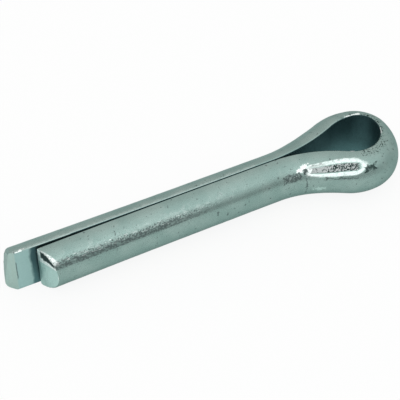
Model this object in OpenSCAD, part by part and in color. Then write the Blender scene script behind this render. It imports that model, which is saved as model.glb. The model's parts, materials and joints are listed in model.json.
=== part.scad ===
// Cotter pin: a half-round wire folded back on itself, flat sides facing, with a pear-shaped eye
// at the fold and one leg left longer than the other. It lies flat, with the eye in the XY plane.
// The origin is on the shank's axis, where the wire starts to open into the eye; the eye is
// towards +X, the leg tips towards -X, and the longer leg is on the +Y side.

/* [Wire] */
// Diameter of the round shank that the two legs make where they lie closed
shank_d = 7.5; // [6.5:0.1:8.5]
// Thickness of the wire from its flat side to its crown
wire_t = 3.65; // [3.2:0.05:4]
// Radius of the two long edges of the flat side
edge_r = 0.4; // [0.2:0.05:0.6]

/* [Legs] */
// Length of the short leg, from the origin to its tip
short_leg = 38.3; // [25:0.5:60]
// How much longer the other leg is
leg_extra = 4.5; // [0:0.25:6]
// Length of the stretch where the two legs lie closed
closed_l = 11; // [4:0.5:18]
// Seam between the two flat sides where the legs lie closed
seam = 0.1; // [0.06:0.01:0.4]
// Radius of the gentle curve in which each leg springs away from the axis
spring_r = 1900; // [600:50:5000]

/* [Eye] */
// Length of the eye's opening, from the origin to the inside of the fold
eye_l = 19; // [17.5:0.1:24]
// How far the opening reaches to the long leg's side of the axis
half_long = 3.3; // [3.25:0.05:4]
// How far the opening reaches to the short leg's side of the axis
half_short = 4.5; // [3.8:0.05:5]
// How far the fold's centre stands to the long leg's side of the axis
fold_shift = 0.4; // [0:0.05:0.45]
// Inner radius of the fold
fold_r = 2.8; // [2.4:0.05:2.85]
// Inner radius of the eye's side on the long leg's strand
side_long_r = 8.5; // [5:0.1:10]

/* [Cut ends] */
// Slant of the short leg's cut end, set back towards its crown
short_slant = 22; // [5:1:35]
// Slant of the long leg's cut end, set back towards its crown
long_slant = 8; // [0:1:15]
// Lean of the long leg's cut end, out towards the underside
long_lean = 7; // [0:1:12]
// Height above the axis of the shear lip, the step on the short leg's end
lip_z = 1.8; // [1:0.1:3]
// Slant of the short leg's end above the lip
lip_slant = 37; // [36:1:50]
// How far the bevel runs back along the long leg's flat side
bevel_l = 1.3; // [0.6:0.1:2.5]
// Angle between the bevel and the long leg's flat side
bevel_a = 43; // [30:1:60]

/* [Grip mark] */
// Depth of the flat pressed along the top of the short leg's strand beside the eye
grip_depth = 0.24; // [0.1:0.02:0.4]
// Distance along the strand from the origin to the near end of the flat
grip_from = 5.1; // [3:0.1:8]
// Length of the flat along the strand
grip_l = 9.2; // [8:0.1:12]
// Angle of the flat above the plane of the eye
grip_tilt = 48; // [35:1:55]

/* [Hidden] */
$fn = 96;

crown_r = shank_d / 2;
crown_o = wire_t - crown_r;       // the crown circle's centre, measured outward from the flat side
reach = 4 * shank_d;              // longer than anything that a cutting block has to clear
lap_a = 0.001;                    // angle by which a neck runs on into the eye's side, to overlap it

// Lengths and angles that sweeps share are kept to the thousandth, so that their ends match.
function thousandth(v) = round(v * 1000) / 1000;

// The arcs of one strand, drawn on the +Y side. About the fold's centre, the fold arc takes up the
// fold angle; the side arc runs from there to the neck, and the neck arc back to the shank.
function strand(half, side_r, shift) =
    let (
        centre = [eye_l - fold_r, shift],
        fold_a = thousandth(asin((side_r + shift - half) / (side_r - fold_r))),
        side = centre - (side_r - fold_r) * [cos(fold_a), sin(fold_a)],
        drop = seam / 2 - side.y,
        neck_r = thousandth((pow(side.x, 2) + pow(drop, 2) - pow(side_r, 2)) / (2 * half - seam)),
        neck_a = thousandth(atan2(side.x, drop + neck_r)),
        neck = side + (side_r + neck_r) * [-sin(neck_a), cos(neck_a)]
    )
    [fold_a, side, side_r, neck_a, neck, neck_r];
function fold_angle(s) = s[0];
function side_centre(s) = s[1];
function side_radius(s) = s[2];
function neck_angle(s) = s[3];
function neck_centre(s) = s[4];
function neck_radius(s) = s[5];
function shank_end(s) = neck_centre(s) - [0, neck_radius(s)];

long_strand = strand(half_long, side_long_r, fold_shift);
short_strand = strand(half_short, half_short + fold_shift, -fold_shift);

// Moves its children to a point in two steps, to the thousandth and then by the rest.
module at(p) {
    near = [for (c = p) thousandth(c)];
    translate(near) translate(p - near) children();
}

// Half-round section, with the flat side on the Y axis and the crown towards +X.
module wire_section() {
    edge_y = sqrt(pow(crown_r - edge_r, 2) - pow(edge_r - crown_o, 2));
    touch_x = edge_r + (edge_r - crown_o) * edge_r / (crown_r - edge_r);
    intersection() {
        at([crown_o, 0]) circle(crown_r);
        translate([touch_x, -shank_d]) square([shank_d, 2 * shank_d]);
    }
    for (s = [0, 1])
        mirror([0, s]) {
            square([touch_x, edge_y]);
            intersection() {
                at([edge_r, edge_y]) circle(edge_r);
                translate([0, edge_y]) square([touch_x, shank_d]);
            }
        }
}

// Bent wire around the Z axis with the crown outside and its flat side at the given radius.
module wire_around(radius, start, angle) {
    rotate_extrude(start = start, angle = angle) translate([radius, 0]) wire_section();
}

// Bent wire around the Z axis with the crown inside and its flat side at the given radius.
module wire_within(radius, start, angle) {
    rotate_extrude(start = start, angle = angle) translate([radius, 0]) mirror([1, 0]) wire_section();
}

// Leg on the +Y side: the closed stretch, then a gentle curve to the tip at x = -length.
// Its children are cutting blocks, drawn with the origin at the tip on the flat side.
module leg(s, length) {
    free_l = length - closed_l;
    free_a = thousandth(asin((free_l + shank_d) / spring_r));
    tip_a = asin(free_l / spring_r);
    at(shank_end(s)) {
        translate([-closed_l, 0, 0]) rotate([90, 0, 90]) linear_extrude(closed_l) wire_section();
        difference() {
            translate([-closed_l, spring_r, 0]) wire_within(spring_r, -90 - free_a, free_a);
            translate([-length, spring_r * (1 - cos(tip_a)), 0]) rotate([0, 0, -tip_a]) children();
        }
    }
}

// Block that leaves a leg's end slanted back towards the crown, and leaning out at the underside.
module end_cut(slant, lean = 0) {
    rotate([0, 0, -slant]) rotate([0, lean, 0])
        translate([-reach, -reach, -reach]) cube([reach, 2 * reach, 2 * reach]);
}

// The short leg's sheared end, square along the flat side's rounded edges and slanted beyond them,
// with the steeper slant above the lip.
module sheared_end() {
    end_cut(0);
    translate([0, edge_r, 0]) end_cut(short_slant);
    translate([0, edge_r, lip_z + reach]) end_cut(lip_slant);
}

// Block that takes the bevel off the flat side's edge of an end.
module bevel_cut() {
    translate([bevel_l, 0, 0]) rotate([0, 0, 90 - bevel_a])
        translate([-reach, -reach, -reach]) cube([reach, 2 * reach, 2 * reach]);
}

// Neck and side of the eye on the +Y side, from the shank to the fold.
module eye_side(s) {
    at(neck_centre(s)) wire_within(neck_radius(s), -90, neck_angle(s) + lap_a);
    at(side_centre(s))
        wire_around(side_radius(s), fold_angle(s), 90 + neck_angle(s) - fold_angle(s));
}

// The fold at the far end of the eye. It is all on the long leg's strand, so that the short leg's
// strand runs up to it with a fold angle of nothing.
module fold() {
    at([eye_l - fold_r, fold_shift]) wire_around(fold_r, 0, fold_angle(long_strand));
}

// What the grip flat takes off the crown, beside the wire's section.
module grip_section() {
    translate([crown_o, 0]) rotate(grip_tilt)
        translate([crown_r - grip_depth, -crown_r]) square([crown_r, shank_d]);
}

// The grip flat's cuts into a strand, first along its neck and then on along its side.
module grip_cuts(s) {
    from_a = thousandth(grip_from / neck_radius(s) * 180 / PI);
    side_l = grip_l - (neck_angle(s) - from_a) / 180 * PI * neck_radius(s);
    side_a = thousandth(side_l / side_radius(s) * 180 / PI);
    at(neck_centre(s)) rotate_extrude(start = from_a - 90, angle = neck_angle(s) - from_a)
        translate([neck_radius(s), 0]) mirror([1, 0]) grip_section();
    at(side_centre(s)) rotate_extrude(start = 90 + neck_angle(s) - side_a, angle = side_a)
        translate([side_radius(s), 0]) grip_section();
}

module cotter_pin() {
    color([0.52, 0.60, 0.60]) {
        leg(long_strand, short_leg + leg_extra) {
            end_cut(long_slant, long_lean);
            bevel_cut();
        }
        eye_side(long_strand);
        fold();
        mirror([0, 1, 0]) {
            leg(short_strand, short_leg) sheared_end();
            difference() {
                eye_side(short_strand);
                grip_cuts(short_strand);
            }
        }
    }
}

cotter_pin();
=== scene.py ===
import json
import math

import bmesh
import bpy
from mathutils import Matrix, Vector


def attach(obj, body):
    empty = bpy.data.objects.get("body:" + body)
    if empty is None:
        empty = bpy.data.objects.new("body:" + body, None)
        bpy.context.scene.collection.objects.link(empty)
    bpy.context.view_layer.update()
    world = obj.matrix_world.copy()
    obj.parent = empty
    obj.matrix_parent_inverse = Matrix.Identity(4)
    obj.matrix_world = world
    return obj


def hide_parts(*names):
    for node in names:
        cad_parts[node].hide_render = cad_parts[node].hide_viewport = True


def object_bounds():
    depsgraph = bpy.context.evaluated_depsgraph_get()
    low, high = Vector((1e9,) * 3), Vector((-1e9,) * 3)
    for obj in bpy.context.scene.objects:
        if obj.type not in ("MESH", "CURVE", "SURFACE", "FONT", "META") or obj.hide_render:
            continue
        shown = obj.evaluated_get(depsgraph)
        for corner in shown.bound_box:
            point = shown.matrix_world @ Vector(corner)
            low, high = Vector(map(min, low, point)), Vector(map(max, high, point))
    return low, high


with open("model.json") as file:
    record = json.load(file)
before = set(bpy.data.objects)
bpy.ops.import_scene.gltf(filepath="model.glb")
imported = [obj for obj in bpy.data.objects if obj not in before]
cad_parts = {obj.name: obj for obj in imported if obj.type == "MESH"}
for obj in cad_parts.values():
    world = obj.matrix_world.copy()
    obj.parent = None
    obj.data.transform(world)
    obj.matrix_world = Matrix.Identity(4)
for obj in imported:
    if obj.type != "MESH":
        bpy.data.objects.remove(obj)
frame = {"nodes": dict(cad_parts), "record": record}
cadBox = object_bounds()
mm = 0.001
shankMount = frame["record"]["mounts"][0]["dims"]
print("frame loaded, nodes:", sorted(frame["nodes"]))

scene = bpy.context.scene
scene.view_settings.view_transform = "Standard"


# Node helpers. A value is a socket to link or a plain constant to set.

def feed(tree, socket, value):
    if isinstance(value, bpy.types.NodeSocket):
        tree.links.new(value, socket)
    elif value is not None:
        socket.default_value = value


def addNode(tree, kind, inputs=None, **settings):
    node = tree.nodes.new(kind)
    for name, value in settings.items():
        setattr(node, name, value)
    for key, value in (inputs or {}).items():
        feed(tree, node.inputs[key], value)
    return node


def calc(tree, operation, *values):
    return addNode(tree, "ShaderNodeMath", dict(enumerate(values)), operation=operation).outputs[0]


def product(tree, *values):
    result = values[0]
    for value in values[1:]:
        result = calc(tree, "MULTIPLY", result, value)
    return result


def swayed(tree, value, noise, amount):
    # a value moved by up to half the amount either way
    return calc(tree, "ADD", value, product(tree, calc(tree, "SUBTRACT", noise, 0.5), amount))


def vectorCalc(tree, operation, *values):
    kind = "ShaderNodeVectorMath"
    return addNode(tree, kind, dict(enumerate(values)), operation=operation).outputs[0]


def scaled(tree, vector, factor):
    node = addNode(tree, "ShaderNodeVectorMath", {0: vector, "Scale": factor}, operation="SCALE")
    return node.outputs[0]


def ramped(tree, value, low, high, start=0.0, end=1.0):
    inputs = {"Value": value, 1: low, 2: high, 3: start, 4: end}
    return addNode(tree, "ShaderNodeMapRange", inputs, interpolation_type="SMOOTHSTEP").outputs[0]


# Wire path: the line of the flat side, from the long tip round the eye to the short tip.
wireSizes = {
    "shankWidth": 2 * shankMount["r_mm"],  # of the round that the two legs make
    "thickness": 3.65,
    "edgeRadius": 0.28,
    "shortLeg": 38.3,
    "legExtra": 4.5,
    "closedLength": 11.0,
    "seam": 0.06,
    "springRadius": 1900.0,
    "eyeLength": 19.15,
    "halfLong": 3.24,
    "halfShort": 4.45,
    "foldShift": 0.36,
    "foldRadius": 2.85,
    "sideLongRadius": 8.5,
    "spareLength": 1.5,  # wire past each tip, for the cuts to take off
    "pathStep": 0.05,
    "ringSpacing": 0.22,
    "flatSteps": 12,
    "cornerSteps": 8,
    "crownSteps": 64,
}


def arcPoints(centre, radius, startAngle, endAngle):
    count = max(2, int(abs(endAngle - startAngle) * radius / wireSizes["pathStep"]))
    angles = [startAngle + (endAngle - startAngle) * i / count for i in range(count + 1)]
    return [Vector((centre[0] + radius * math.cos(a), centre[1] + radius * math.sin(a))) for a in angles]


def strandPath(half, sideRadius, shift, legLength, withFold):
    # one strand on the +Y side, from its tip to the fold
    w = wireSizes
    foldCentre = Vector((w["eyeLength"] - w["foldRadius"], shift))
    reach = sideRadius - w["foldRadius"]
    foldAngle = math.asin((sideRadius + shift - half) / reach)
    sideCentre = foldCentre - reach * Vector((math.cos(foldAngle), math.sin(foldAngle)))
    drop = w["seam"] / 2 - sideCentre.y
    neckRadius = (sideCentre.x**2 + drop**2 - sideRadius**2) / (2 * half - w["seam"])
    neckAngle = math.atan2(sideCentre.x, drop + neckRadius)
    neckCentre = sideCentre + (sideRadius + neckRadius) * Vector((-math.sin(neckAngle), math.cos(neckAngle)))
    freeLength = legLength - w["closedLength"] + w["spareLength"]
    springAngle = math.asin(freeLength / w["springRadius"])
    springCentre = (-w["closedLength"], w["seam"] / 2 + w["springRadius"])
    down = -math.pi / 2
    points = arcPoints(springCentre, w["springRadius"], down - springAngle, down)
    steps = int(w["closedLength"] / w["ringSpacing"])
    points += [Vector((-w["closedLength"] * (1 - i / steps), w["seam"] / 2)) for i in range(1, steps)]
    points += arcPoints(neckCentre, neckRadius, down, down + neckAngle)
    points += arcPoints(sideCentre, sideRadius, math.pi / 2 + neckAngle, foldAngle)[1:]
    if withFold:
        points += arcPoints(foldCentre, w["foldRadius"], foldAngle, 0.0)[1:]
    return points


def polyCurve(name, points, closed=False):
    curve = bpy.data.curves.new(name, "CURVE")
    curve.dimensions = "3D"
    spline = curve.splines.new("POLY")
    spline.points.add(len(points) - 1)
    for target, point in zip(spline.points, points):
        target.co = (point[0] * mm, point[1] * mm, 0.0, 1.0)
    spline.use_cyclic_u = closed
    curveObject = bpy.data.objects.new(name, curve)
    scene.collection.objects.link(curveObject)
    return curveObject


def wirePath():
    w = wireSizes
    longPart = strandPath(w["halfLong"], w["sideLongRadius"], w["foldShift"],
                          w["shortLeg"] + w["legExtra"], True)
    shortPart = strandPath(w["halfShort"], w["halfShort"] + w["foldShift"], -w["foldShift"],
                           w["shortLeg"], False)
    shortPart = [Vector((p.x, -p.y)) for p in reversed(shortPart)]
    return longPart, shortPart[1:]


def sectionPoints():
    # half-round section: x outward from the flat side, y up
    w = wireSizes
    crownRadius, edge = w["shankWidth"] / 2, w["edgeRadius"]
    crownCentre = w["thickness"] - crownRadius
    edgeHeight = math.sqrt((crownRadius - edge) ** 2 - (edge - crownCentre) ** 2)
    touchAngle = math.atan2(edgeHeight, edge - crownCentre)
    flatSteps, cornerSteps, crownSteps = w["flatSteps"], w["cornerSteps"], w["crownSteps"]
    flat = [Vector((0.0, edgeHeight * (i / flatSteps * 2 - 1))) for i in range(flatSteps + 1)]
    cornerTurns = [math.pi + (touchAngle - math.pi) * i / cornerSteps for i in range(1, cornerSteps + 1)]
    corner = [Vector((edge, edgeHeight)) + edge * Vector((math.cos(a), math.sin(a))) for a in cornerTurns]
    crownTurns = [touchAngle * (1 - 2 * i / crownSteps) for i in range(1, crownSteps)]
    crown = [Vector((crownCentre, 0)) + crownRadius * Vector((math.cos(a), math.sin(a))) for a in crownTurns]
    lower = [Vector((p.x, -p.y)) for p in reversed(corner)]
    return flat + corner + crown + lower[:-1]


# Form of the pin beyond the plain sweep, in millimetres and degrees
pinForm = {
    "foldThinning": 0.26,  # share of the thickness
    "foldReach": 6.8,
    "sideDistance": 12.0,  # from the fold
    "sideReach": 8.5,
    "sideSwelling": 0.08,
    "foldBulge": 0.45,  # of the flat side's lower half, inward
    "bulgeReach": 8.0,
    "bulgeHeight": 3.0,  # down from the axis, where it is full
    "bulgeDepth": 1.5,  # into the wire, where it is gone
    "gripStart": 8.5,  # along the short leg's strand, from the fold
    "gripEnd": 18.2,
    "gripDepth": 0.22,
    "gripTilt": 40.0,
    "gripTurn": 10.0,  # more tilt at the fold's end of the flat
    "gripTurnReach": 8.0,
    "gripRamp": 1.3,
    "gripTaper": 7.0,
    "taperEnd": 0.4,  # share of the depth left at the shank's end of the flat
    "coreStart": 0.68,  # shares of the depth at which the rough core starts and is full
    "coreFull": 0.84,
    "coreStartInset": 0.4,  # and distances from the flat's ends
    "coreFullInset": 1.0,
    "rimOutset": 0.3,
    "rimInset": 0.2,
    "burrWidth": 0.05,
    "burrHeight": 0.07,
    "burrScale": 900.0,  # of the noise that breaks it up, per metre
    "burrBreaks": (0.35, 0.6, 0.4),  # noise where it is least and full, and its least share
    "dentSize": 420.0,  # noise scale, per metre
    "dentDepth": 0.05,
    "dentStart": 0.3,  # from the flat side, which has no dents
    "dentFull": 1.2,
    "flatTouch": 0.08,  # from the flat side, still counted as part of it
    "seed": 3.0,
    "shortSlant": 22.0,
    "longSlant": 8.0,
    "longLean": 7.0,
    "lipHeight": 1.8,
    "lipSlant": 37.0,
    "bevelLength": 1.3,
    "bevelAngle": 43.0,
    "longRoundOver": 0.6,  # of the crown's rim at each cut end
    "shortRoundOver": 0.12,
    "edgeRounding": 0.05,
    "smoothAngle": 38.0,  # below which neighbouring faces are shaded as one
}

flatTurn = math.radians(200)  # stands for the whole flat side in the wire map


def wireTree():
    # sweeps the section along the path, then thins the fold, presses the grip flat and roughens
    f = pinForm
    tree = bpy.data.node_groups.new("wireSweep", "GeometryNodeTree")
    sockets = tree.interface
    sockets.new_socket("Geometry", in_out="INPUT", socket_type="NodeSocketGeometry")
    for name in ("Path", "Section"):
        sockets.new_socket(name, in_out="INPUT", socket_type="NodeSocketObject")
    for name in ("Ring Spacing", "Crown Radius", "Crown Centre", "Fold Place", "Fold Reach",
                 "Fold Thinning", "Side Distance", "Side Reach", "Side Swelling", "Fold Bulge",
                 "Bulge Reach", "Grip Start", "Grip End", "Grip Depth", "Grip Tilt", "Grip Turn",
                 "Grip Turn Reach", "Grip Ramp", "Grip Taper", "Burr Width", "Burr Height",
                 "Dent Size", "Dent Depth", "Seed"):
        sockets.new_socket(name, in_out="INPUT", socket_type="NodeSocketFloat")
    sockets.new_socket("Material", in_out="INPUT", socket_type="NodeSocketMaterial")
    sockets.new_socket("Geometry", in_out="OUTPUT", socket_type="NodeSocketGeometry")
    given = tree.nodes.new("NodeGroupInput").outputs

    path = addNode(tree, "GeometryNodeObjectInfo", {"Object": given["Path"]}).outputs["Geometry"]
    section = addNode(tree, "GeometryNodeObjectInfo", {"Object": given["Section"]}).outputs["Geometry"]
    rings = addNode(tree, "GeometryNodeResampleCurve", {"Curve": path, "Length": given["Ring Spacing"]},
                    mode="LENGTH")
    position = tree.nodes.new("GeometryNodeInputPosition").outputs[0]
    tangent = tree.nodes.new("GeometryNodeInputTangent").outputs[0]
    lengthAlong = tree.nodes.new("GeometryNodeSplineParameter").outputs["Length"]
    up = (0.0, 0.0, 1.0)
    across = vectorCalc(tree, "CROSS_PRODUCT", up, tangent)

    def captured(geometry, items):
        node = tree.nodes.new("GeometryNodeCaptureAttribute")
        for kind, name, _ in items:
            node.capture_items.new(kind, name)
        tree.links.new(geometry, node.inputs["Geometry"])
        for _, name, value in items:
            tree.links.new(value, node.inputs[name])
        return node.outputs

    ringFacts = captured(rings.outputs["Curve"], [
        ("VECTOR", "Centre", position), ("FLOAT", "Along", lengthAlong), ("VECTOR", "Outward", across)])
    sectionFacts = captured(section, [("VECTOR", "Corner", position)])
    sweep = addNode(tree, "GeometryNodeCurveToMesh", {
        "Curve": ringFacts["Geometry"], "Profile Curve": sectionFacts["Geometry"], "Fill Caps": True})
    along = ringFacts["Along"]
    outward = vectorCalc(tree, "NORMALIZE", ringFacts["Outward"])
    corner = addNode(tree, "ShaderNodeSeparateXYZ", {0: sectionFacts["Corner"]}).outputs
    out, rise = corner["X"], corner["Y"]

    # the fold's wire is drawn thinner, and swells where the strands turn into it
    foldDistance = calc(tree, "ABSOLUTE", calc(tree, "SUBTRACT", along, given["Fold Place"]))
    thinning = product(tree, ramped(tree, foldDistance, 0.0, given["Fold Reach"], 1.0, 0.0),
                       given["Fold Thinning"])
    sideDistance = calc(tree, "ABSOLUTE", calc(tree, "SUBTRACT", foldDistance, given["Side Distance"]))
    swelling = product(tree, ramped(tree, sideDistance, 0.0, given["Side Reach"], 1.0, 0.0),
                       given["Side Swelling"])
    thickness = calc(tree, "SUBTRACT", calc(tree, "ADD", 1.0, swelling), thinning)
    out = product(tree, out, thickness)
    low = ramped(tree, corner["Y"], 0.0, -f["bulgeHeight"] * mm)
    bulge = product(tree, ramped(tree, foldDistance, given["Bulge Reach"], 0.0),
                    product(tree, low, given["Fold Bulge"]))
    inner = ramped(tree, corner["X"], f["bulgeDepth"] * mm, 0.0)
    out = calc(tree, "SUBTRACT", out, product(tree, bulge, inner))

    # the grip flat pressed along the top of the short leg's strand, shallower towards the shank
    start, end, ramp = given["Grip Start"], given["Grip End"], given["Grip Ramp"]
    gripIn = ramped(tree, along, start, calc(tree, "ADD", start, ramp))
    gripOut = ramped(tree, along, calc(tree, "SUBTRACT", end, ramp), end, 1.0, 0.0)
    pressed = product(tree, gripIn, gripOut)
    taperStart = calc(tree, "SUBTRACT", end, given["Grip Taper"])
    taper = ramped(tree, along, taperStart, end, 1.0, f["taperEnd"])
    press = product(tree, given["Grip Depth"], product(tree, pressed, taper))
    turnEnd = calc(tree, "ADD", start, given["Grip Turn Reach"])
    turned = ramped(tree, along, start, turnEnd, 1.0, 0.0)
    tilt = calc(tree, "ADD", given["Grip Tilt"], product(tree, turned, given["Grip Turn"]))
    tiltCos, tiltSin = calc(tree, "COSINE", tilt), calc(tree, "SINE", tilt)
    fromCentre = calc(tree, "SUBTRACT", out, given["Crown Centre"])
    turn = calc(tree, "ARCTAN2", rise, fromCentre)
    reach = calc(tree, "ADD", product(tree, fromCentre, tiltCos), product(tree, rise, tiltSin))
    # its depth is measured from the crown as it stands, swollen or thinned
    swollen = calc(tree, "ADD", given["Crown Centre"], product(tree, given["Crown Radius"], tiltCos))
    swollen = product(tree, swollen, tiltCos, calc(tree, "SUBTRACT", thickness, 1.0))
    top = calc(tree, "ADD", given["Crown Radius"], swollen)
    over = calc(tree, "SUBTRACT", reach, calc(tree, "SUBTRACT", top, press))
    excess = calc(tree, "MAXIMUM", over, 0.0)

    # a broken burr round the flat's rim
    ragged = addNode(tree, "ShaderNodeTexNoise", {
        "Vector": ringFacts["Centre"], "W": given["Seed"], "Scale": f["burrScale"], "Detail": 2.0},
        noise_dimensions="4D").outputs[0]
    nearRim = calc(tree, "DIVIDE", calc(tree, "ABSOLUTE", over), given["Burr Width"])
    burr = product(tree, ramped(tree, nearRim, 0.0, 1.0, 1.0, 0.0), pressed,
                   ramped(tree, ragged, *f["burrBreaks"], 1.0))

    # the burnished rim runs on inward from the burr, down to the rough core; the material paints a highlight
    # on the rim and darkens the core, partly as a painted dark reflection
    ends = calc(tree, "MINIMUM", calc(tree, "SUBTRACT", along, start), calc(tree, "SUBTRACT", end, along))
    core = ramped(tree, over, product(tree, press, f["coreStart"]), product(tree, press, f["coreFull"]))
    core = product(tree, core, ramped(tree, ends, f["coreStartInset"] * mm, f["coreFullInset"] * mm))
    rim = product(tree, ramped(tree, over, product(tree, given["Burr Width"], -1.0), 0.0),
                  calc(tree, "SUBTRACT", 1.0, core),
                  ramped(tree, ends, -f["rimOutset"] * mm, f["rimInset"] * mm))
    mark = calc(tree, "SUBTRACT", core, rim)
    shift = calc(tree, "SUBTRACT", product(tree, burr, given["Burr Height"]), excess)
    out = calc(tree, "ADD", out, product(tree, shift, tiltCos))
    rise = calc(tree, "ADD", rise, product(tree, shift, tiltSin))

    placed = vectorCalc(tree, "ADD", ringFacts["Centre"], scaled(tree, outward, out))
    placed = vectorCalc(tree, "ADD", placed, scaled(tree, up, rise))

    # shallow dents in the crown
    noise = addNode(tree, "ShaderNodeTexNoise", {
        "Vector": placed, "W": given["Seed"], "Scale": given["Dent Size"], "Detail": 3.0, "Roughness": 0.6},
        noise_dimensions="4D")
    dent = product(tree, calc(tree, "SUBTRACT", noise.outputs[0], 0.5), given["Dent Depth"],
                   ramped(tree, out, f["dentStart"] * mm, f["dentFull"] * mm))
    radial = vectorCalc(tree, "ADD", scaled(tree, outward, fromCentre), scaled(tree, up, rise))
    placed = vectorCalc(tree, "ADD", placed, scaled(tree, vectorCalc(tree, "NORMALIZE", radial), dent))
    shaped = addNode(tree, "GeometryNodeSetPosition", {"Geometry": sweep.outputs[0], "Position": placed})

    # the wire map for the looks: place along the wire, turn round the crown, and grip mark
    fromFold = calc(tree, "SUBTRACT", along, given["Fold Place"])
    onFlat = calc(tree, "LESS_THAN", corner["X"], f["flatTouch"] * mm)
    turn = calc(tree, "ADD", product(tree, turn, calc(tree, "SUBTRACT", 1.0, onFlat)),
                product(tree, onFlat, flatTurn))
    wireMap = addNode(tree, "ShaderNodeCombineXYZ", {0: fromFold, 1: turn, 2: mark}).outputs[0]
    mapped = addNode(tree, "GeometryNodeStoreNamedAttribute", {
        "Geometry": shaped.outputs[0], "Name": "wireMap", "Value": wireMap}, data_type="FLOAT_VECTOR")
    real = addNode(tree, "GeometryNodeRealizeInstances", {"Geometry": mapped.outputs[0]})
    finished = addNode(tree, "GeometryNodeSetMaterial", {
        "Geometry": real.outputs[0], "Material": given["Material"]})
    tree.links.new(finished.outputs[0], tree.nodes.new("NodeGroupOutput").inputs[0])
    return tree


def setInput(tree, modifier, name, value):
    for item in tree.interface.items_tree:
        if item.item_type == "SOCKET" and item.in_out == "INPUT" and item.name == name:
            modifier[item.identifier] = value
            return
    raise KeyError(name)


def wireMesh(material):
    longPart, shortPart = wirePath()
    path = polyCurve("wirePath", longPart + shortPart)
    section = polyCurve("wireSection", sectionPoints(), closed=True)
    points = longPart + shortPart
    lengths = [0.0]
    for a, b in zip(points, points[1:]):
        lengths.append(lengths[-1] + (b - a).length)
    foldPlace = lengths[len(longPart) - 1]
    tree = wireTree()
    pin = bpy.data.objects.new("cotterPinWire", bpy.data.meshes.new("cotterPinWire"))
    scene.collection.objects.link(pin)
    modifier = pin.modifiers.new("wireSweep", "NODES")
    modifier.node_group = tree
    f = pinForm
    values = {
        "Path": path, "Section": section,
        "Ring Spacing": wireSizes["ringSpacing"] * mm,
        "Crown Radius": wireSizes["shankWidth"] / 2 * mm,
        "Crown Centre": (wireSizes["thickness"] - wireSizes["shankWidth"] / 2) * mm,
        "Fold Place": foldPlace * mm,
        "Fold Reach": f["foldReach"] * mm, "Fold Thinning": f["foldThinning"],
        "Fold Bulge": f["foldBulge"] * mm, "Bulge Reach": f["bulgeReach"] * mm,
        "Side Distance": f["sideDistance"] * mm,
        "Side Reach": f["sideReach"] * mm, "Side Swelling": f["sideSwelling"],
        "Grip Start": (foldPlace + f["gripStart"]) * mm,
        "Grip End": (foldPlace + f["gripEnd"]) * mm,
        "Grip Depth": f["gripDepth"] * mm, "Grip Tilt": math.radians(f["gripTilt"]),
        "Grip Turn": math.radians(f["gripTurn"]), "Grip Turn Reach": f["gripTurnReach"] * mm,
        "Grip Ramp": f["gripRamp"] * mm, "Grip Taper": f["gripTaper"] * mm,
        "Burr Width": f["burrWidth"] * mm, "Burr Height": f["burrHeight"] * mm,
        "Dent Size": f["dentSize"], "Dent Depth": f["dentDepth"] * mm, "Seed": f["seed"],
        "Material": material,
    }
    for name, value in values.items():
        setInput(tree, modifier, name, value)
    evaluated = pin.evaluated_get(bpy.context.evaluated_depsgraph_get())
    mesh = bpy.data.meshes.new_from_object(evaluated)
    for helper in (pin, path, section):
        bpy.data.objects.remove(helper)
    mesh.name = "pinWire"
    return mesh


# Work on the cut ends, in millimetres; the first three are X, with the tips below them
tipWork = {
    "mapKnown": -32.0,  # from here down to tipsFrom the swept wire map is read off
    "tipsFrom": -33.0,
    "endsFrom": -34.0,
    "cutReach": 12.0,  # from a cut's own point
    "roundReach": 3.0,  # from the tip
    "blockSize": 8.0,
    "flatTouch": 0.03,  # from the flat side, still counted as part of it
    "touching": 0.001,  # points this near are one
    "cutTouch": 0.0001,
    "sharpAngle": 20.0,  # degrees, past which an edge is bevelled
    "aligned": 0.99,  # least cosine between a face and the plane that cut it
}


def cutEnd(bm, side, point, normal):
    # cuts one leg off at a plane and closes it; the normal points into what stays
    near = [v for v in bm.verts if v.co.y * side > 0 and (v.co - point).length < tipWork["cutReach"] * mm]
    faces = list({f for v in near for f in v.link_faces})
    edges = list({e for f in faces for e in f.edges})
    verts = list({v for f in faces for v in f.verts})
    cut = bmesh.ops.bisect_plane(bm, geom=verts + edges + faces, dist=tipWork["cutTouch"] * mm,
                                 plane_co=point, plane_no=normal, clear_inner=True)
    rim = [g for g in cut["geom_cut"] if isinstance(g, bmesh.types.BMEdge) and g.is_boundary]
    for face in bmesh.ops.edgenet_fill(bm, edges=rim)["faces"]:
        face.material_index = 1


def tipFrame(legLength, side):
    # the tip on the flat side, the way in along the leg and the way out to the crown
    free = legLength - wireSizes["closedLength"]
    angle = math.asin(free / wireSizes["springRadius"])
    y = wireSizes["seam"] / 2 + wireSizes["springRadius"] * (1 - math.cos(angle))
    tip = Vector((-legLength, side * y, 0.0)) * mm
    inward = Vector((math.cos(angle), -side * math.sin(angle), 0.0))
    out = Vector((math.sin(angle), side * math.cos(angle), 0.0))
    return tip, inward, out


def slanted(inward, out, slant, lean):
    # normal of an end that is set back towards the crown and leans out at the underside
    a, b = math.radians(slant), math.radians(lean)
    return (inward * math.cos(a) - out * math.sin(a)) * math.cos(b) - Vector((0, 0, math.sin(b)))


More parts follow.
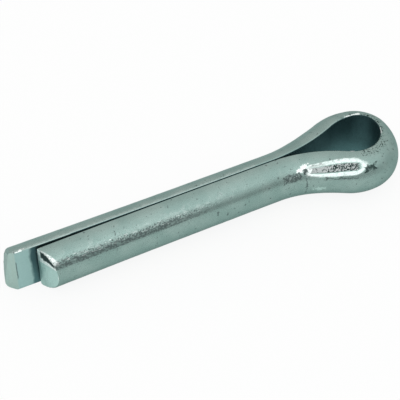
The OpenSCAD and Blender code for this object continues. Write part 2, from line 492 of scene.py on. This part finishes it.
def cutLip(bm, tip, inward, out):
    # takes the step off the short leg's end, above the lip
    f = pinForm
    size = tipWork["blockSize"] * mm
    across = slanted(inward, out, f["lipSlant"], 0.0)
    along = Vector((across.y, -across.x, 0.0))
    foot = tip + out * wireSizes["edgeRadius"] * mm + Vector((0, 0, f["lipHeight"] * mm))
    cutter = bmesh.new()
    bmesh.ops.create_cube(cutter, size=1.0)
    for v in cutter.verts:
        v.co = (foot + across * (v.co.x - 0.5) * size + along * v.co.y * 2 * size
                + Vector((0, 0, (v.co.z + 0.5) * size)))
    bmesh.ops.recalc_face_normals(cutter, faces=cutter.faces)
    block = bpy.data.meshes.new("lipBlock")
    cutter.to_mesh(block)
    cutter.free()
    whole = bpy.data.meshes.new("wholeWire")
    bm.to_mesh(whole)
    pieces = [bpy.data.objects.new(m.name, m) for m in (whole, block)]
    for piece in pieces:
        scene.collection.objects.link(piece)
    modifier = pieces[0].modifiers.new("lip", "BOOLEAN")
    modifier.operation = "DIFFERENCE"
    modifier.solver = "EXACT"
    modifier.object = pieces[1]
    evaluated = pieces[0].evaluated_get(bpy.context.evaluated_depsgraph_get())
    result = bpy.data.meshes.new_from_object(evaluated)
    bm.clear()
    bm.from_mesh(result)
    for piece in pieces:
        bpy.data.objects.remove(piece)
    touching = tipWork["touching"] * mm
    for face in bm.faces:
        centre = face.calc_center_median()
        atTip = centre.x < tipWork["endsFrom"] * mm and centre.y < 0
        onCut = abs((centre - foot).dot(across)) < touching or abs(centre.z - foot.z) < touching
        aligned = abs(face.normal.z) + abs(face.normal.dot(across)) > tipWork["aligned"]
        if atTip and onCut and aligned:
            face.material_index = 1


def roundOver(bm, side, tip, normal, out, radius):
    # rounds the crown's rim towards a cut end
    w = wireSizes
    for v in bm.verts:
        if v.co.y * side <= 0 or v.co.x > tip.x + tipWork["roundReach"] * mm:
            continue
        depth = (v.co - tip).dot(normal) / mm
        if depth < radius:
            inset = radius - math.sqrt(max(0.0, radius**2 - (radius - max(depth, 0.0)) ** 2))
            outward = (v.co - tip).dot(out)
            v.co -= out * outward * inset / w["thickness"]
            v.co.z *= 1 - inset / (w["shankWidth"] / 2)


def remapTips(bm):
    # the wire map again near the tips, where the cuts made new points
    w = wireSizes
    layer = bm.verts.layers.float_vector["wireMap"]
    crownCentre = (w["thickness"] - w["shankWidth"] / 2) * mm
    tipsFrom, mapKnown = tipWork["tipsFrom"] * mm, tipWork["mapKnown"] * mm
    for side in (-1, 1):
        strand = [v for v in bm.verts if v.co.y * side > 0]
        known = [v for v in strand if tipsFrom < v.co.x < mapKnown]
        start = sum(v[layer].x - side * v.co.x for v in known) / len(known)
        for v in strand:
            if v.co.x < tipsFrom:
                flat = side * v.co.y - flatDistance(v.co.x)
                onFlat = flat < tipWork["flatTouch"] * mm
                turn = flatTurn if onFlat else math.atan2(v.co.z, flat - crownCentre)
                v[layer] = (start + side * v.co.x, turn, 0.0)


def flatDistance(x):
    # distance of a leg's flat side from the axis
    spring, closed = wireSizes["springRadius"] * mm, wireSizes["closedLength"] * mm
    return wireSizes["seam"] / 2 * mm + spring - math.sqrt(spring**2 - (x + closed) ** 2)


def finishEnds(mesh):
    f, w = pinForm, wireSizes
    bm = bmesh.new()
    bm.from_mesh(mesh)
    # long leg: nearly square, with a bevel along the flat side
    tip, inward, out = tipFrame(w["shortLeg"] + w["legExtra"], 1)
    square = slanted(inward, out, f["longSlant"], f["longLean"])
    cutEnd(bm, 1, tip, square)
    roundOver(bm, 1, tip, square, out, f["longRoundOver"])
    turn = math.radians(f["bevelAngle"])
    bevel = inward * math.sin(turn) + out * math.cos(turn)
    bevelPlace = tip + inward * f["bevelLength"] * mm
    cutEnd(bm, 1, bevelPlace, bevel)
    # short leg: slanted, with a sheared lip along the top
    tip, inward, out = tipFrame(w["shortLeg"], -1)
    sheared = slanted(inward, out, f["shortSlant"], 0.0)
    cutEnd(bm, -1, tip, sheared)
    roundOver(bm, -1, tip, sheared, out, f["shortRoundOver"])
    cutLip(bm, tip, inward, out)
    atTips = [v for v in bm.verts if v.co.x < tipWork["tipsFrom"] * mm]
    bmesh.ops.remove_doubles(bm, verts=atTips, dist=tipWork["touching"] * mm)
    bm.normal_update()
    sharpAngle = math.radians(tipWork["sharpAngle"])
    sharp = [e for e in bm.edges if len(e.link_faces) == 2 and e.calc_face_angle() > sharpAngle
             and e.verts[0].co.x < tipWork["endsFrom"] * mm]
    bmesh.ops.bevel(bm, geom=sharp, offset=f["edgeRounding"] * mm, segments=2, profile=0.5,
                    affect="EDGES", clamp_overlap=True)
    bmesh.ops.recalc_face_normals(bm, faces=bm.faces)
    remapTips(bm)
    bm.to_mesh(mesh)
    bm.free()


# Zinc plate: tints, roughness and the wear on it. Places are in millimetres from the fold, and in
# degrees round the crown; the short leg's strand counts up, the long leg's down.
# Among these tones are painted shade, painted highlights and painted dark reflections, as marked below.
zincLook = {
    "base": (0.262, 0.372, 0.348, 1.0),
    "light": (0.315, 0.420, 0.395, 1.0),
    "inside": (0.062, 0.125, 0.135, 1.0),  # painted shade on the flat side, between the legs and round the eye; this darker tone is for the top
    # the painted shade's lighter tone, low on the flat side
    "insideLow": (0.11, 0.215, 0.225, 1.0),
    # the flat side's lit tone at the long leg's tip, past the painted shade
    "flatLit": (0.40, 0.57, 0.56, 1.0),
    # pale: lighter patches and flecks on the crown, and the painted highlight along the long leg's top edge
    "pale": (0.42, 0.51, 0.49, 1.0),
    "dark": (0.10, 0.130, 0.130, 1.0),
    # near white: the band's flecks, and painted highlights on rims, round the grip mark's end and at the
    # short leg's lip
    "polishAndHighlight": (0.90, 0.95, 0.94, 1.0),
    "pit": (0.02, 0.04, 0.037, 1.0),
    "streak": (0.50, 0.66, 0.62, 1.0),
    # the grip mark's core, speckled between this and the pit tone; its darkness is partly a painted dark
    # reflection
    "pressed": (0.46, 0.49, 0.49, 1.0),
    # the grip mark's burnished rim, a painted highlight
    "rim": (0.70, 0.79, 0.77, 1.0),
    "edge": (0.55, 0.60, 0.60, 1.0),
    "foldDull": 0.25,  # added roughness
    "wearDull": 0.12,
    "flatDull": 0.25,
    "bumpStrength": 0.35,
    "bumpDistance": 0.00006,
    "bandLow": 24.0,
    "bandLowSoft": 2.0,
    "bandHigh": 39.5,
    "bandHighSoft": 3.0,
    "bandWander": 8.0,
    "fadeWander": 0.8,  # of the same, along the wire where the band fades in
    "bandFraying": 34.0,
    "bandTilt": 62.0,  # of its scratches, from the wire's own direction
    "scratchScale": (0.8, 6.0, 1.0),
    "scratchNoise": (1.0, 4.0, 0.7),
    "fleckBelow": 4.0,  # how far the flecks reach beyond the band's upper edge
    "fleckAbove": 5.0,
    "fleckSoft": 5.0,
    "fleckStrength": 0.75,
    "pitStrength": 0.9,
    "patchTurn": (40.0, 56.0, 8.0),  # from, to and softness
    # where along the long leg the flat side's painted shade gives way to its lit tone
    "flatLitFrom": -60.4,
    "flatLitSoft": 0.3,
    "flatLitFray": 1.5,
    "markSoft": 0.12,
    "markFray": 1.6,
    "markTurnFray": -22.0,
    "lipFray": 0.4,
    "creaseWidth": 0.12,
    "creaseSoft": 0.06,
    "creaseStrength": 0.7,
    "creaseFray": 0.25,
    "creaseLevel": (-0.0012, 0.0016, 0.0005),  # heights in metres and softness
}

# Noise patterns of the plating: scale per metre, detail and roughness
zincNoise = {
    "grain": (5200.0, 4.0, 0.65),
    "speckle": (2600.0, 3.0, 0.7),
    "fine": (4200.0, 2.0, 0.6),
    "cloud": (260.0, 3.0, 0.6),
    "drift": (700.0, 3.0, 0.6),
    "patch": (950.0, 4.0, 0.7),
    "ragged": (1500.0, 3.0, 0.6),
    "spot": (1500.0, 2.0, 0.5),
    "scuff": (900.0, 4.0, 0.75),
}

# Values between which each part of the wear, the painted shade and the painted highlights comes in, and its
# shares there where not 0 and 1.
# Those with along are places in millimetres from the fold, and those with level heights in metres.
wearRamps = {
    "cloud": (0.35, 0.7),
    "grain": (0.30, 0.42, 0.5, 0.0),
    "spots": (0.67, 0.72),
    "bandAlong": (30.0, 43.0),
    # the band's darkening: its scratches, and a painted dark reflection
    "bandScratch": (0.93, 1.13, 1.0, 0.25),
    "fleckScratch": (0.56, 0.66),
    "patchAlong": (26.0, 32.0),
    "patchNoise": (0.50, 0.62),
    "scuffNoise": (0.56, 0.64),
    "scuffSpeckle": (0.45, 0.6),
    "foldAlong": (4.0, 10.0, 1.0, 0.0),
    "flatTurn": (100.0, 150.0),
    # heights over which the flat side's painted shade darkens towards the top
    "insideLevel": (-0.0032, 0.0015, 1.0, 0.0),
    "markSpeckle": (0.36, 0.5, 0.25, 1.0),
    "fleckFine": (0.54, 0.60),
    "speckFine": (0.545, 0.59),
    # the grip mark's core: speckled dark, partly as a painted dark reflection, and lighter towards the shank
    "coreAlong": (12.0, 16.0, -0.03, 0.10),
    "coreFine": (0.42, 0.58),
    # the grip mark's rim, painted as a highlight
    "rim": (0.0, 1.0),
    "rimSpeckle": (0.34, 0.5, 0.55, 1.0),
    # the painted highlight along the crown side of the short leg's lip
    "lipDepth": (0.1, 0.3, 0.9, 0.0),
    "lipAlong": (57.0, 58.0),
    "lipLevel": (0.0019, 0.0023),
    "lipFine": (0.40, 0.55, 0.35, 1.0),
    "roughness": (0.3, 0.7, 0.36, 0.18),
}

# Single marks on the crown: from and to in millimetres from the fold, from and to in degrees round
# it, softness of the edges and tone
crownMarks = [
    (18.9, 22.3, 22, 38, 2.5, "dark"),
    (19.0, 22.0, 27, 33, 4.0, "fleck"),
    (17.75, 18.3, 33, 46, 1.0, "pit"),
    (7.6, 8.7, 31, 44, 2.5, "pit"),
    # painted highlight on the burred inner rim by the fold
    (-5.4, -2.8, 84, 99, 2.0, "polishAndHighlight"),
    (-2.6, -1.2, 86, 99, 2.0, "pit"),
    (0.2, 1.6, 88, 99, 1.0, "pit"),
    # painted highlight on the burred inner rim by the fold
    (1.8, 3.0, 86, 99, 1.0, "polishAndHighlight"),
    (4.5, 8.6, 66, 92, 3.0, "speck"),
    (-2.0, 4.5, 80, 99, 2.0, "speck"),
    (9.5, 14.5, 17, 19, 1.5, "dark"),
    # painted highlights round the end of the grip mark
    (17.5, 18.7, 46, 54, 2.0, "polishAndHighlight"),
    (18.3, 19.5, 40, 47, 2.0, "polishAndHighlight"),
    (17.0, 17.7, 28, 50, 2.0, "polishAndHighlight"),
    (14.3, 16.6, -12, -7, 4.0, "streak"),
    (22.3, 22.45, -5, 70, 2.0, "light"),
    # painted highlight along the long leg's top inner edge
    (-63.5, -24.0, 83, 94, 2.0, "pale"),
    (-63.7, -62.8, 86, 99, 1.0, "pit"),
    # painted highlight on the long leg's top inner edge at its tip
    (-62.5, -61.4, 86, 99, 1.0, "polishAndHighlight"),
    (17.85, 17.95, -20, 22, 2.0, "dark"),
]


def shade(tree, factor, under, over):
    # one colour over another by a factor
    node = addNode(tree, "ShaderNodeMix", {0: factor, 6: under, 7: over}, data_type="RGBA")
    return node.outputs[2]


def window(tree, value, low, high, soft):
    # 1 between low and high, with soft shoulders outside
    rise = ramped(tree, value, low - soft, low)
    return product(tree, rise, ramped(tree, value, high, high + soft, 1.0, 0.0))


def noiseOf(tree, vector, scale, detail, roughness):
    return addNode(tree, "ShaderNodeTexNoise", {
        "Vector": vector, "Scale": scale, "Detail": detail, "Roughness": roughness}).outputs[0]


def zincShader(tree, colour, rough, normal):
    shader = addNode(tree, "ShaderNodeBsdfPrincipled", {
        "Base Color": colour, "Metallic": 1.0, "Roughness": rough, "Specular Tint": zincLook["edge"],
        "Normal": normal})
    output = addNode(tree, "ShaderNodeOutputMaterial")
    tree.links.new(shader.outputs[0], output.inputs["Surface"])


def newMaterial(name):
    material = bpy.data.materials.new(name)
    material.use_nodes = True
    material.node_tree.nodes.clear()
    return material, material.node_tree


def zincMaterial():
    z = zincLook
    material, tree = newMaterial("zincPlate")
    place = addNode(tree, "ShaderNodeTexCoord").outputs["Object"]
    placeAxes = addNode(tree, "ShaderNodeSeparateXYZ", {0: place}).outputs
    level = placeAxes["Z"]
    wireMap = addNode(tree, "ShaderNodeAttribute", attribute_name="wireMap").outputs["Vector"]
    axes = addNode(tree, "ShaderNodeSeparateXYZ", {0: wireMap}).outputs
    along = product(tree, axes["X"], 1 / mm)
    turn = product(tree, axes["Y"], math.degrees(1.0))
    crownPlace = addNode(tree, "ShaderNodeCombineXYZ", {
        0: along, 1: product(tree, axes["Y"], wireSizes["shankWidth"] / 2), 2: 0.0}).outputs[0]
    rim = calc(tree, "MAXIMUM", product(tree, axes["Z"], -1.0), 0.0)
    core = calc(tree, "MAXIMUM", axes["Z"], 0.0)
    noise = {name: noiseOf(tree, place, *form) for name, form in zincNoise.items()}
    fine, speckle = noise["fine"], noise["speckle"]

    def worn(name, value):
        return ramped(tree, value, *wearRamps[name])

    # band along the outside of the short leg, with slanting scratches: worn, and darkened further as a
    # painted dark reflection
    slanting = addNode(tree, "ShaderNodeMapping", {
        "Vector": crownPlace, "Rotation": (0.0, 0.0, -math.radians(z["bandTilt"])),
        "Scale": z["scratchScale"]}).outputs[0]
    scratch = noiseOf(tree, slanting, *z["scratchNoise"])
    wander = product(tree, calc(tree, "SUBTRACT", noise["drift"], 0.5), z["bandWander"])
    bandTurn = calc(tree, "ADD", turn, wander)
    fade = worn("bandAlong", calc(tree, "ADD", along, product(tree, wander, z["fadeWander"])))
    frayed = swayed(tree, bandTurn, fine, z["bandFraying"])
    low, high, soft = z["bandLow"], z["bandHigh"], z["bandHighSoft"]
    band = product(tree, ramped(tree, turn, low - z["bandLowSoft"], low),
                   ramped(tree, frayed, high - soft, high + soft, 1.0, 0.0), fade)
    bandWearAndReflection = product(tree, band, worn("bandScratch", calc(tree, "ADD", scratch, fine)))
    beside = window(tree, bandTurn, high - z["fleckBelow"], high + z["fleckAbove"], z["fleckSoft"])
    flecks = product(tree, beside, fade, worn("fleckScratch", scratch))
    patches = product(tree, window(tree, bandTurn, *z["patchTurn"]), worn("patchAlong", along),
                      worn("patchNoise", noise["patch"]))

    # scuffs, and a rougher fold
    scuffs = product(tree, worn("scuffNoise", noise["scuff"]), worn("scuffSpeckle", speckle))
    foldWear = worn("foldAlong", calc(tree, "ABSOLUTE", along))

    # the single marks, their edges broken up
    marks = {}
    raggedAlong = swayed(tree, along, noise["ragged"], z["markFray"])
    raggedTurn = swayed(tree, turn, noise["ragged"], z["markTurnFray"])
    for start, end, turnStart, turnEnd, turnSoft, tone in crownMarks:
        spot = product(tree, window(tree, raggedAlong, start, end, z["markSoft"]),
                       window(tree, raggedTurn, turnStart, turnEnd, turnSoft), worn("markSpeckle", speckle))
        marks[tone] = calc(tree, "MAXIMUM", marks[tone], spot) if tone in marks else spot

    # one over the other on the crown, with the strength and tone of each
    colour = shade(tree, worn("cloud", noise["cloud"]), z["base"], z["light"])
    for mask, strength, tone in (
            (worn("grain", noise["grain"]), 1.0, "dark"),
            # the band: wear, and a painted dark reflection
            (bandWearAndReflection, 0.9, "dark"),
            (worn("spots", noise["spot"]), 0.75, "dark"),
            (patches, 0.4, "pale"),
            (product(tree, scuffs, foldWear), 1.0, "dark"),
            (marks["light"], 0.5, "light"),
            (marks["streak"], 0.8, "streak"),
            # the pale mark: a painted highlight
            (marks["pale"], 0.7, "pale"),
            (marks["dark"], 0.85, "dark"),
            (product(tree, marks["fleck"], worn("fleckFine", fine)), 1.0, "pale"),
            (product(tree, marks["speck"], worn("speckFine", fine)), 1.0, "pit")):
        colour = shade(tree, product(tree, mask, strength), colour, z[tone])

    # the grip mark: its rough core, speckled dark partly as a painted dark reflection and lighter towards
    # the shank, and its burnished rim with a painted highlight
    pressed = worn("coreFine", calc(tree, "ADD", fine, worn("coreAlong", along)))
    colour = shade(tree, core, colour, shade(tree, pressed, z["pit"], z["pressed"]))
    rimHighlight = product(tree, worn("rim", rim), worn("rimSpeckle", speckle))
    colour = shade(tree, rimHighlight, colour, z["rim"])

    # near white: the band's bright flecks, a painted highlight along the crown side of the short leg's lip,
    # and the painted highlights of the single marks on the rims
    tip, inward, out = tipFrame(wireSizes["shortLeg"], -1)
    across = slanted(inward, out, pinForm["lipSlant"], 0.0)
    foot = (tip + out * wireSizes["edgeRadius"] * mm).dot(across)
    depth = addNode(tree, "ShaderNodeVectorMath", {0: place, 1: across},
                    operation="DOT_PRODUCT").outputs["Value"]
    depth = product(tree, calc(tree, "SUBTRACT", depth, foot), 1 / mm)
    depth = calc(tree, "ADD", depth, product(tree, speckle, z["lipFray"]))
    lipHighlight = product(tree, worn("lipDepth", depth), worn("lipAlong", along), worn("lipLevel", level),
                      worn("lipFine", fine))
    flecksAndLipHighlight = calc(tree, "MAXIMUM", product(tree, flecks, z["fleckStrength"]), lipHighlight)
    colour = shade(tree, calc(tree, "MAXIMUM", flecksAndLipHighlight, marks["polishAndHighlight"]), colour, z["polishAndHighlight"])
    colour = shade(tree, product(tree, marks["pit"], z["pitStrength"]), colour, z["pit"])

    # the flat side: painted shade, darker towards the top, left in a lighter lit tone at the long leg's tip
    # past the short leg, with a dark crease line at the bevel
    onFlat = worn("flatTurn", turn)
    tipAlong = swayed(tree, along, noise["cloud"], z["flatLitFray"])
    flatLitFrom, flatLitSoft = z["flatLitFrom"], z["flatLitSoft"]
    tipLit = ramped(tree, tipAlong, flatLitFrom - flatLitSoft, flatLitFrom + flatLitSoft, 1.0, 0.0)
    creaseX = swayed(tree, product(tree, placeAxes["X"], 1 / mm), noise["ragged"], z["creaseFray"])
    creaseFrom = pinForm["bevelLength"] - wireSizes["shortLeg"] - wireSizes["legExtra"]
    crease = product(tree, window(tree, creaseX, creaseFrom, creaseFrom + z["creaseWidth"], z["creaseSoft"]),
                     window(tree, level, *z["creaseLevel"]))
    flat = shade(tree, worn("insideLevel", level), z["inside"], z["insideLow"])
    flat = shade(tree, tipLit, flat, z["flatLit"])
    flat = shade(tree, product(tree, crease, z["creaseStrength"]), flat, z["dark"])
    colour = shade(tree, onFlat, colour, flat)

    wear = calc(tree, "MAXIMUM", calc(tree, "MAXIMUM", band, core), foldWear)
    dull = calc(tree, "MAXIMUM", product(tree, foldWear, z["foldDull"]), product(tree, wear, z["wearDull"]))
    dull = calc(tree, "MAXIMUM", dull, product(tree, onFlat, z["flatDull"]))
    rough = calc(tree, "ADD", worn("roughness", noise["grain"]), dull)
    height = product(tree, calc(tree, "ADD", speckle, scratch), wear)
    bump = addNode(tree, "ShaderNodeBump", {
        "Height": calc(tree, "ADD", noise["grain"], height), "Strength": z["bumpStrength"],
        "Distance": z["bumpDistance"]})
    zincShader(tree, colour, rough, bump.outputs[0])
    return material


# The sheared ends: the cut runs up through the wire, so its marks are drawn out in height
shearLook = {
    "face": (0.50, 0.68, 0.65, 1.0),
    # the long leg's end: the same sheared face, darker as painted shade
    "longFaceShaded": (0.42, 0.54, 0.505, 1.0),
    "groove": (0.42, 0.57, 0.545, 1.0),
    # the short leg's lip: a painted highlight round its rim, and its torn core darkened as a painted dark
    # reflection
    "lipRimHighlight": (0.86, 0.93, 0.92, 1.0),
    "lipCoreTornAndReflection": (0.035, 0.055, 0.055, 1.0),
    "drawnScale": (2600.0, 2600.0, 500.0),
    "drawnNoise": (1.0, 4.0, 0.65),
    "pitNoise": (2400.0, 3.0, 0.7),
    "shortFrom": (-0.0395, -0.0390),  # X in metres, between the ends of the two legs
    "grooves": (0.35, 0.55, 0.5, 0.0),  # noise from and to, with the shares there
    "roughness": (0.3, 0.7, 0.46, 0.26),
    "lipFrom": 1.25,  # height above the axis from which the lip's painted highlight and dark core are drawn, below the lip's own cut
    "lipShare": (0.0, 0.04),  # of its own height, from and to
    "tornShare": (0.40, 0.85, 0.1),  # from, to and softness
    "tornFray": 0.5,
    "tornAside": (-2.9, -0.8, 0.3),  # across the leg, from the crown's centre
    "bumpStrength": 0.5,
    "bumpDistance": 0.0001,
}


def shearMaterial():
    look, w = shearLook, wireSizes
    material, tree = newMaterial("shearedZinc")
    place = addNode(tree, "ShaderNodeTexCoord").outputs["Object"]
    drawn = addNode(tree, "ShaderNodeMapping", {"Vector": place, "Scale": look["drawnScale"]}).outputs[0]
    marks = noiseOf(tree, drawn, *look["drawnNoise"])
    pits = noiseOf(tree, place, *look["pitNoise"])
    axes = addNode(tree, "ShaderNodeSeparateXYZ", {0: place}).outputs
    onShort = ramped(tree, axes["X"], *look["shortFrom"])
    # the long leg's end takes the darker copy of the face tone, a painted shade
    face = shade(tree, onShort, look["longFaceShaded"], look["face"])
    colour = shade(tree, ramped(tree, marks, *look["grooves"]), face, look["groove"])

    # the short leg's lip: torn metal in the middle, darkened as a painted dark reflection, and a painted
    # highlight round its rim
    crownRadius = w["shankWidth"] / 2
    crownCentre = w["thickness"] - crownRadius + flatDistance(-w["shortLeg"] * mm) / mm
    aside = calc(tree, "ADD", product(tree, axes["Y"], 1 / mm), crownCentre)
    top = calc(tree, "SQRT", calc(tree, "SUBTRACT", crownRadius**2, product(tree, aside, aside)))
    height = calc(tree, "SUBTRACT", product(tree, axes["Z"], 1 / mm), look["lipFrom"])
    share = calc(tree, "DIVIDE", height, calc(tree, "SUBTRACT", top, look["lipFrom"]))
    torn = swayed(tree, share, pits, look["tornFray"])
    tornCoreAndReflection = product(tree, window(tree, torn, *look["tornShare"]), window(tree, aside, *look["tornAside"]))
    lip = shade(tree, tornCoreAndReflection, look["lipRimHighlight"], look["lipCoreTornAndReflection"])
    colour = shade(tree, product(tree, onShort, ramped(tree, share, *look["lipShare"])), colour, lip)

    rough = ramped(tree, pits, *look["roughness"])
    bump = addNode(tree, "ShaderNodeBump", {
        "Height": calc(tree, "ADD", marks, pits), "Strength": look["bumpStrength"],
        "Distance": look["bumpDistance"]})
    zincShader(tree, colour, rough, bump.outputs[0])
    return material


pinMesh = wireMesh(zincMaterial())
pinMesh.materials.append(shearMaterial())
finishEnds(pinMesh)
pin = bpy.data.objects.new("pinWire", pinMesh)
scene.collection.objects.link(pin)
pinMesh.shade_smooth()
pinMesh.set_sharp_from_angle(angle=math.radians(pinForm["smoothAngle"]))
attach(pin, "root")
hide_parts("cotter_pin")
print("pin built, faces:", len(pinMesh.polygons))


# Floor, light and camera
stageSizes = {
    "floorSize": 1.2,
    "floorColour": (0.90, 0.91, 0.91, 1.0),
    "whiteSeen": 0.88,  # share of plain white in what the camera sees and in reflections
    "whiteReflected": 0.54,
    "reflectedTint": (0.90, 1.0, 0.97, 1.0),
}


def makeFloor():
    half = stageSizes["floorSize"] / 2
    level = cadBox[0][2]
    mesh = bpy.data.meshes.new("floor")
    corners = [(x * half, y * half, level) for x, y in ((-1, -1), (1, -1), (1, 1), (-1, 1))]
    mesh.from_pydata(corners, [], [(0, 1, 2, 3)])
    floor = bpy.data.objects.new("floor", mesh)
    scene.collection.objects.link(floor)
    material = bpy.data.materials.new("paleFloor")
    material.use_nodes = True
    tree = material.node_tree
    tree.nodes.clear()
    paper = addNode(tree, "ShaderNodeBsdfDiffuse", {"Color": stageSizes["floorColour"]})
    rays = addNode(tree, "ShaderNodeLightPath").outputs
    reflected = calc(tree, "MAXIMUM", rays["Is Glossy Ray"], rays["Is Transmission Ray"])
    seen = shade(tree, reflected, (1.0, 1.0, 1.0, 1.0), stageSizes["reflectedTint"])
    white = addNode(tree, "ShaderNodeEmission", {"Color": seen, "Strength": 1.0})
    share = calc(tree, "ADD", product(tree, rays["Is Camera Ray"], stageSizes["whiteSeen"]),
                 product(tree, reflected, stageSizes["whiteReflected"]))
    chosen = addNode(tree, "ShaderNodeMixShader", {0: share, 1: paper.outputs[0], 2: white.outputs[0]})
    output = addNode(tree, "ShaderNodeOutputMaterial")
    tree.links.new(chosen.outputs[0], output.inputs["Surface"])
    mesh.materials.append(material)


def makeCamera():
    # turned alpha from the pin's own Y axis, raised by elev above the floor
    view = {"alpha": 28.45, "elev": 43.3, "distance": 178.4, "aside": -2.456, "above": -1.671,
            "lookAt": (-15.0, 0.0, 0.0), "lens": 108.0, "sensor": 36.0}
    a, e = math.radians(view["alpha"]), math.radians(view["elev"])
    ahead = Vector((math.sin(a) * math.cos(e), math.cos(a) * math.cos(e), -math.sin(e)))
    right = Vector((math.cos(a), -math.sin(a), 0.0))
    over = right.cross(ahead)
    camera = bpy.data.objects.new("camera", bpy.data.cameras.new("camera"))
    scene.collection.objects.link(camera)
    camera.data.lens = view["lens"]
    camera.data.sensor_width = view["sensor"]
    camera.data.clip_start = 0.01
    camera.data.clip_end = 10.0
    place = Vector(view["lookAt"]) - view["distance"] * ahead - view["aside"] * right - view["above"] * over
    turn = Matrix((right, over, -ahead)).transposed()
    camera.matrix_world = Matrix.Translation(place * mm) @ turn.to_4x4()
    scene.camera = camera


# Studio: a pale tent, dimmer near the horizon than overhead
tentLight = {
    "tint": (0.97, 1.0, 0.99, 1.0),
    "lowFront": 0.42, "lowBack": 0.80,  # radiance near the horizon on the -Y and +Y sides
    "highFront": 1.18, "highBack": 0.88,
    "lowTop": 0.03, "highStart": 0.72,  # sines of elevation between which it brightens
    "backFrom": -0.35, "backTo": 0.45,  # Y directions between which front turns to back
    "sideLift": 0.15,  # more of it on the +X side, past the fold
    "sideFrom": 0.40, "sideTo": 0.95,
    "backTint": (1.03, 1.0, 0.985, 1.0),
}


def makeTent():
    t = tentLight
    world = bpy.data.worlds.new("studio")
    world.use_nodes = True
    scene.world = world
    tree = world.node_tree
    tree.nodes.clear()
    toward = addNode(tree, "ShaderNodeTexCoord").outputs["Generated"]
    axes = addNode(tree, "ShaderNodeSeparateXYZ", {0: toward}).outputs
    back = ramped(tree, axes["Y"], t["backFrom"], t["backTo"])
    side = ramped(tree, axes["X"], t["sideFrom"], t["sideTo"])
    low = calc(tree, "ADD", t["lowFront"], product(tree, back, t["lowBack"] - t["lowFront"]))
    high = calc(tree, "ADD", t["highFront"], product(tree, back, t["highBack"] - t["highFront"]))
    low = calc(tree, "ADD", low, product(tree, side, t["sideLift"]))
    lift = ramped(tree, axes["Z"], t["lowTop"], t["highStart"])
    strength = calc(tree, "ADD", low, product(tree, lift, calc(tree, "SUBTRACT", high, low)))
    seen = addNode(tree, "ShaderNodeLightPath").outputs["Is Camera Ray"]
    tint = shade(tree, seen, shade(tree, back, t["tint"], t["backTint"]), (1.0, 1.0, 1.0, 1.0))
    strength = calc(tree, "ADD", product(tree, strength, calc(tree, "SUBTRACT", 1.0, seen)), seen)
    sky = addNode(tree, "ShaderNodeBackground", {"Color": tint, "Strength": strength})
    output = addNode(tree, "ShaderNodeOutputWorld")
    tree.links.new(sky.outputs[0], output.inputs["Surface"])


# One soft light in front, placed from the middle of the pin, in metres
softbox = {"place": (-0.05, -0.30, 0.36), "size": (0.40, 0.16), "watts": 0.1}


def makeSoftbox():
    light = bpy.data.lights.new("frontSoftbox", "AREA")
    light.shape = "RECTANGLE"
    light.size, light.size_y = softbox["size"]
    light.energy = softbox["watts"]
    lamp = bpy.data.objects.new("frontSoftbox", light)
    scene.collection.objects.link(lamp)
    middle = Vector(((cadBox[0][0] + cadBox[1][0]) / 2, 0.0, 0.0))
    lamp.location = middle + Vector(softbox["place"])
    lamp.rotation_euler = (middle - lamp.location).to_track_quat("-Z", "Y").to_euler()


makeFloor()
makeCamera()
makeTent()
makeSoftbox()
print("floor, camera and light set")
